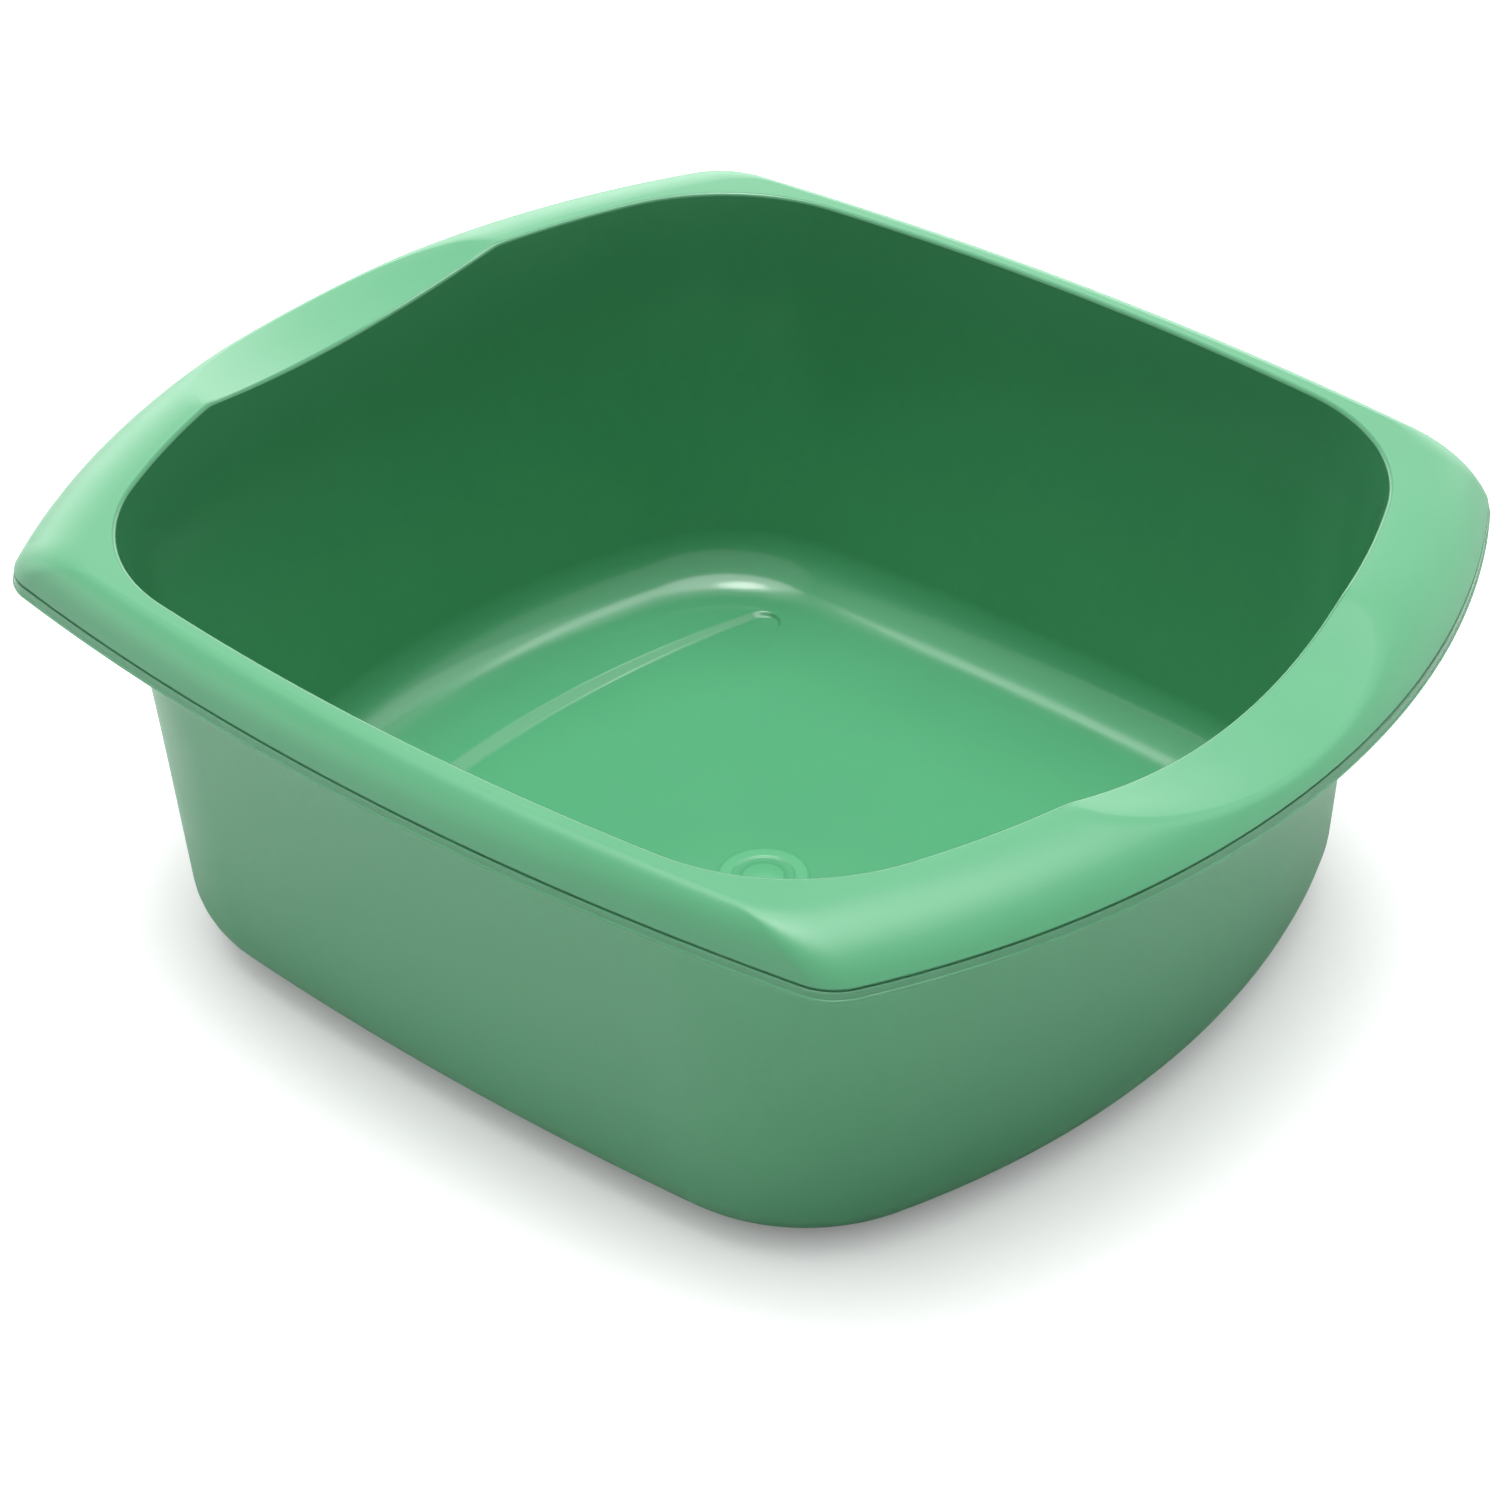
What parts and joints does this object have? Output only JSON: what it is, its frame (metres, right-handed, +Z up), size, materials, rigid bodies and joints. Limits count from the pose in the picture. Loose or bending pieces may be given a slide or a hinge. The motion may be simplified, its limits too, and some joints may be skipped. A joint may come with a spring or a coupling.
{
  "type": "washing up bowl",
  "caption": "Bowed rectangular washing up bowl, one plastic moulding with drafted walls, a rolled overhanging rim, scooped finger-grip handle ends and lens-shaped feet under a flat floor.",
  "frame": {"origin": "on the standing plane, under the middle of the bowl", "axes": "+Z up, +X from the middle towards one handle end, +Y towards one long side"},
  "size_m": [0.3888, 0.3252, 0.14],
  "materials": {
    "moulded_polypropylene": "satin green moulded polypropylene"
  },
  "bodies": {
    "root": {"bowl": "moulded_polypropylene"}
  },
  "joints": []
}
